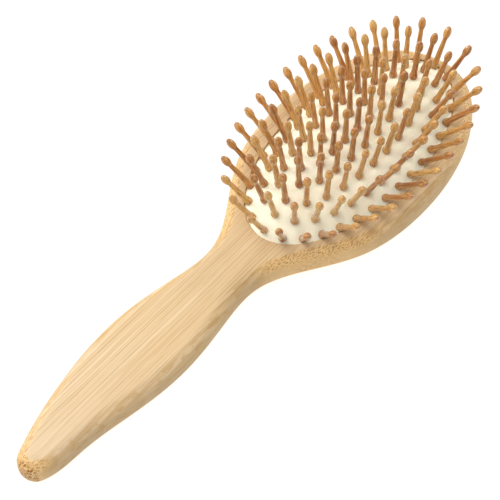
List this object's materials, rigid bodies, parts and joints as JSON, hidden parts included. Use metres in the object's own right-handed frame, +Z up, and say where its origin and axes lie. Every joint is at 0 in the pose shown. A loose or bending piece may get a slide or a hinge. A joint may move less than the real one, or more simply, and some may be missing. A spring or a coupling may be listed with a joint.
{
  "type": "paddle brush",
  "caption": "Oval paddle hair brush with a flat swelling handle, a domed air cushion set in its face and turned wooden pins that fan outwards on it.",
  "frame": {"origin": "middle of the brush's footprint, on the surface that its flat back lies on", "axes": "+X from the handle to the head, +Y across the brush, +Z up out of the face, the way the pins point"},
  "size_m": [0.2408, 0.0764, 0.04],
  "materials": {
    "bamboo": "satin",
    "cushion_rubber": "matt",
    "pin_wood": "satin"
  },
  "bodies": {
    "brush": {"brush_body": "bamboo", "cushion": "cushion_rubber"},
    "centre_row": {"pins_centre_01": "pin_wood", "pins_centre_02": "pin_wood", "pins_centre_03": "pin_wood"},
    "ring_d": {"pins_d_01": "pin_wood", "pins_d_02": "pin_wood", "pins_d_03": "pin_wood", "pins_d_04": "pin_wood", "pins_d_05": "pin_wood", "pins_d_06": "pin_wood", "pins_d_07": "pin_wood", "pins_d_08": "pin_wood"},
    "ring_c": {"pins_c_01": "pin_wood", "pins_c_02": "pin_wood", "pins_c_03": "pin_wood", "pins_c_04": "pin_wood", "pins_c_05": "pin_wood", "pins_c_06": "pin_wood", "pins_c_07": "pin_wood", "pins_c_08": "pin_wood", "pins_c_09": "pin_wood", "pins_c_10": "pin_wood", "pins_c_11": "pin_wood"},
    "ring_b": {"pins_b_01": "pin_wood", "pins_b_02": "pin_wood", "pins_b_03": "pin_wood", "pins_b_04": "pin_wood", "pins_b_05": "pin_wood", "pins_b_06": "pin_wood", "pins_b_07": "pin_wood", "pins_b_08": "pin_wood", "pins_b_09": "pin_wood", "pins_b_10": "pin_wood", "pins_b_11": "pin_wood", "pins_b_12": "pin_wood", "pins_b_13": "pin_wood", "pins_b_14": "pin_wood"},
    "ring_a": {"pins_a_01": "pin_wood", "pins_a_02": "pin_wood", "pins_a_03": "pin_wood", "pins_a_04": "pin_wood", "pins_a_05": "pin_wood", "pins_a_06": "pin_wood", "pins_a_07": "pin_wood", "pins_a_08": "pin_wood", "pins_a_09": "pin_wood", "pins_a_10": "pin_wood", "pins_a_11": "pin_wood", "pins_a_12": "pin_wood", "pins_a_13": "pin_wood", "pins_a_14": "pin_wood", "pins_a_15": "pin_wood", "pins_a_16": "pin_wood", "pins_a_17": "pin_wood"}
  },
  "joints": [
    {"name": "cushion_press", "type": "slide", "parent": "brush", "child": "centre_row", "axis": [0, 0, 1], "range_m": [-0.0045, 0], "stiffness_N_per_m": 3000, "deforming": ["cushion"]},
    {"name": "ring_d_sink", "type": "slide", "parent": "brush", "child": "ring_d", "axis": [0, 0, 1], "range_m": [-0.00429, 0]},
    {"name": "ring_c_sink", "type": "slide", "parent": "brush", "child": "ring_c", "axis": [0, 0, 1], "range_m": [-0.00348, 0]},
    {"name": "ring_b_sink", "type": "slide", "parent": "brush", "child": "ring_b", "axis": [0, 0, 1], "range_m": [-0.00226, 0]},
    {"name": "ring_a_sink", "type": "slide", "parent": "brush", "child": "ring_a", "axis": [0, 0, 1], "range_m": [-0.00078, 0]}
  ],
  "couplings": [
    {"joint": "ring_d_sink", "follows": "cushion_press", "ratio": 0.9523},
    {"joint": "ring_c_sink", "follows": "cushion_press", "ratio": 0.773},
    {"joint": "ring_b_sink", "follows": "cushion_press", "ratio": 0.5002},
    {"joint": "ring_a_sink", "follows": "cushion_press", "ratio": 0.1715}
  ]
}
